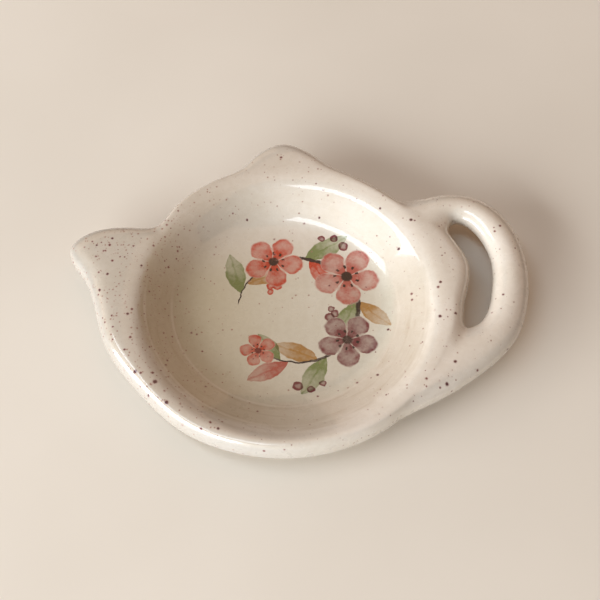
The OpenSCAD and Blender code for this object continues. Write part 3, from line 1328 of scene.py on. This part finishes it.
    def pull_to_outline(self, clay: bpy.types.Object) -> None:
        """Pull the rings into the bowl's profile and the teapot's outline.

        Args:
            clay: The open dish.
        """
        half = self.meridians // 2
        with shaping(clay):
            mesh = bmesh.from_edit_mesh(clay.data)
            meridian = mesh.verts.layers.int["meridian"]
            ring_number = mesh.verts.layers.int["ring"]
            for v in mesh.verts:
                v.co = self.place(Ring(v[ring_number]), (v[meridian] + half) % self.meridians - half)
            bmesh.update_edit_mesh(clay.data)

    def root_patch(self, mesh: bmesh.types.BMesh, start: int) -> list[bmesh.types.BMFace]:
        """Return the faces on the side of the rim that a root of the handle grows from.

        Args:
            mesh: The open mesh of the dish.
            start: The root's first meridian.

        Returns:
            The patch's faces.
        """
        meridian = mesh.verts.layers.int["meridian"]
        ring_number = mesh.verts.layers.int["ring"]
        columns = range(start, start + self.root_faces + 1)
        rows = range(Ring.SIDE.value, Ring.UNDER_SIDE.value + 1)
        return [f for f in mesh.faces
                if all(v[meridian] in columns and v[ring_number] in rows for v in f.verts)]

    def handle_point(self, station: int, column: int, row: int) -> Vector:
        """Return a point on one of the handle's sections, in metres.

        Args:
            station: The section's number along the handle.
            column: Place across the section, from its inner to its outer side.
            row: Place down the section, from its top to its underside.

        Returns:
            The point, before the surface is smoothed.
        """
        inner, outer = (Vector(p) for p in self.handle.pairs[station])
        middle, across = (inner + outer) / 2, outer - inner
        half_width = across.length / 2
        columns, rows = self.root_faces, Ring.UNDER_SIDE.value - Ring.SIDE.value
        u, v = 2 * column / columns - 1, 1 - 2 * row / rows
        corner = self.handle.corner
        if abs(v) == 1:
            angle = math.radians(90 - (90 - corner) * u) * v
        elif abs(u) == 1:
            angle = math.radians(corner * v) if u > 0 else math.radians(180 - corner * v)
        else:
            angle = math.radians(90 - (90 - corner) * u) * (1 if v >= 0 else -1)
        swell = 2 / (1 + math.cos(math.tau / (2 * (columns + rows))))
        round_w = min(self.handle.round_w, half_width)
        reach = (half_width - round_w) * u + round_w * math.cos(angle) * swell
        level = math.sin(angle) * swell * (abs(v) if abs(u) < 1 else 1)
        plan = middle + across.normalized() * reach
        r = middle.length
        top, low = self.form.surface(r), self.form.under(r)
        z = self.form.nose_z + (top - self.form.nose_z if level > 0 else self.form.nose_z - low) * level
        return Vector((plan.x, plan.y, z)) * MM

    def pull_handle(self, clay: bpy.types.Object) -> None:
        """Pull the handle out of the upper root, round its loop and into the lower root.

        Args:
            clay: The open dish in its outline.
        """
        with shaping(clay):
            mesh = bmesh.from_edit_mesh(clay.data)
            layers = mesh.verts.layers.int
            patch = self.root_patch(mesh, self.upper_root)
            bpy.ops.mesh.select_mode(type="FACE")
            bpy.ops.mesh.select_all(action="DESELECT")
            for f in patch:
                f.select_set(True)
                for v in f.verts:
                    v[layers["column"]] = v[layers["meridian"]] - self.upper_root
                    v[layers["row"]] = v[layers["ring"]] - Ring.SIDE.value
            bmesh.update_edit_mesh(clay.data)
            for station in range(len(self.handle.pairs)):
                bpy.ops.mesh.extrude_region()
                mesh = bmesh.from_edit_mesh(clay.data)
                layers = mesh.verts.layers.int
                for v in mesh.verts:
                    if v.select:
                        v.co = self.handle_point(station, v[layers["column"]], v[layers["row"]])
                        v[layers["ring"]] = 0
                bmesh.update_edit_mesh(clay.data)
            mesh = bmesh.from_edit_mesh(clay.data)
            for f in self.root_patch(mesh, self.lower_root):
                f.select_set(True)
            bmesh.update_edit_mesh(clay.data)
            bpy.ops.mesh.bridge_edge_loops()

    def close_floor(self, clay: bpy.types.Object) -> None:
        """Close the floor and the underside with an even grid, the floor slightly dished.

        Args:
            clay: The dish with its handle.
        """
        with shaping(clay):
            bpy.ops.mesh.select_mode(type="EDGE")
            for ring in (Ring.FLOOR, Ring.UNDER_FLOOR):
                bpy.ops.mesh.select_all(action="DESELECT")
                mesh = bmesh.from_edit_mesh(clay.data)
                ring_number = mesh.verts.layers.int["ring"]
                for e in mesh.edges:
                    if e.is_boundary and all(v[ring_number] == ring.value for v in e.verts):
                        e.select_set(True)
                bmesh.update_edit_mesh(clay.data)
                bpy.ops.mesh.fill_grid(span=self.meridians // 4)
            mesh = bmesh.from_edit_mesh(clay.data)
            floor_r = self.bowl_rings[Ring.FLOOR]
            half_way = (self.form.floor_z + self.under_rings[Ring.UNDER_FLOOR][1]) / 2
            for v in mesh.verts:
                r = math.hypot(v.co.x, v.co.y) / MM
                if r < floor_r - HAIR and v.co.z > half_way * MM:
                    v.co.z = self.form.surface(r) * MM
            bpy.ops.mesh.select_all(action="SELECT")
            bpy.ops.mesh.normals_make_consistent(inside=False)
            for name in ("meridian", "ring", "column", "row"):
                mesh = bmesh.from_edit_mesh(clay.data)
                mesh.verts.layers.int.remove(mesh.verts.layers.int[name])
            bmesh.update_edit_mesh(clay.data)

    def build(self) -> bpy.types.Object:
        """Make the dish and smooth it.

        Returns:
            The finished piece.
        """
        clay = self.turn_on_wheel()
        self.pull_to_outline(clay)
        self.pull_handle(clay)
        self.close_floor(clay)
        bpy.ops.object.modifier_add(type="SUBSURF")
        smooth = clay.modifiers[-1]
        smooth.levels = smooth.render_levels = 2
        bpy.ops.object.modifier_apply(modifier=smooth.name)
        bpy.ops.object.shade_smooth()
        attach(clay, "root")
        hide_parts("floor", "wall", "rim", "spout", "lid", "handle")
        return clay


@dataclass
class FootRing:
    """The bare clay ring that the dish stands on, kept from the solid model."""

    clay: BareClay = BareClay()

    def dress(self) -> bpy.types.Object:
        """Give the ring its clay.

        Returns:
            The ring.
        """
        ring = bpy.data.objects["foot_ring"]
        clay = self.clay.mix()
        for slot in ring.material_slots:
            slot.material = clay
        return ring


@dataclass(frozen=True)
class Lamp:
    """A soft lamp that faces the dish, placed by its direction in degrees and its distance in metres."""

    name: str
    azimuth: float
    elevation: float
    distance: float
    size: Pair
    power: float
    colour: Colour
    along: tuple[float, float, float] | None = None

    def hang(self) -> bpy.types.Object:
        """Hang the lamp, its long side level unless it runs along a direction of its own.

        Returns:
            The lamp.
        """
        a, e = math.radians(self.azimuth), math.radians(self.elevation)
        back = Vector((math.cos(a) * math.cos(e), math.sin(a) * math.cos(e), math.sin(e)))
        across = back.cross(Vector(self.along or (-math.sin(a), math.cos(a), 0.0))).normalized()
        turn = Matrix((across.cross(back), across, back)).transposed()
        bpy.ops.object.light_add(type="AREA", location=back * self.distance, rotation=turn.to_euler())
        lamp = bpy.context.object
        lamp.name = self.name
        lamp.data.shape = "RECTANGLE"
        lamp.data.size, lamp.data.size_y = self.size
        lamp.data.energy = self.power
        lamp.data.color = self.colour
        return lamp


@dataclass
class Studio:
    """A plain pale table, soft lamps and the camera, in metres where it isn't said otherwise."""

    focal_px: float = 975.0
    frame_px: float = 600.0
    sensor_mm: float = 36.0
    nearest: float = 0.01
    tilt: float = 59.0
    distance: float = 0.256
    target: Pair = (0.0037, 0.0044)
    table_size: float = 3.0
    paint: TablePaint = TablePaint()
    lamps: tuple[Lamp, ...] = (
        Lamp("window", 215.0, 17.0, 1.25, (1.6, 0.58), 35.0, (0.94, 0.98, 1.0)),
        Lamp("skylight", 181.7, 68.1, 1.08, (0.95, 0.22), 3.2, (0.8, 0.9, 1.0), (-0.72, 0.62, -0.29)),
        Lamp("room", 45.0, 50.0, 1.8, (2.4, 2.4), 9.6, (1.0, 0.62, 0.38)),
        Lamp("wall", 128.0, 24.0, 1.4, (1.5, 0.8), 2.2, (1.0, 0.7, 0.5)),
    )
    air: Colour = (1.0, 0.84, 0.68)
    air_strength: float = 0.1

    def table(self) -> bpy.types.Object:
        """Make the table that the dish stands on.

        Returns:
            The table.
        """
        bpy.ops.object.select_all(action="DESELECT")
        bpy.ops.mesh.primitive_plane_add(size=self.table_size)
        table = bpy.context.object
        table.name = "table"
        table.data.materials.append(self.paint.mix())
        return table

    def camera(self) -> bpy.types.Object:
        """Set up the camera at the photograph's angle and distance.

        Returns:
            The camera.
        """
        tilt = math.radians(self.tilt)
        x, y = self.target
        place = (x, y - self.distance * math.cos(tilt), self.distance * math.sin(tilt))
        bpy.ops.object.camera_add(location=place, rotation=(math.pi / 2 - tilt, 0, 0))
        camera = bpy.context.object
        camera.data.sensor_width = self.sensor_mm
        camera.data.lens = self.sensor_mm * self.focal_px / self.frame_px
        camera.data.clip_start = self.nearest
        bpy.context.scene.camera = camera
        return camera

    def build(self) -> None:
        """Set up the table, the lamps, the world and the camera."""
        self.table()
        self.camera()
        for lamp in self.lamps:
            lamp.hang()
        world = bpy.data.worlds.new("studio")
        world.use_nodes = True
        background = world.node_tree.nodes["Background"]
        background.inputs["Color"].default_value = (*self.air, 1.0)
        background.inputs["Strength"].default_value = self.air_strength
        bpy.context.scene.world = world
        bpy.context.scene.view_settings.view_transform = "Standard"


def main() -> None:
    """Build the dish and its studio, and report each piece."""
    logging.basicConfig(level=logging.INFO)
    dish = Dish().build()
    dish.data.materials.append(SpeckledGlaze().mix())
    log.info("%s: %d faces", dish.name, len(dish.data.polygons))
    foot = FootRing().dress()
    log.info("%s: dressed", foot.name)
    Studio().build()


if __name__ == "__main__":
    main()
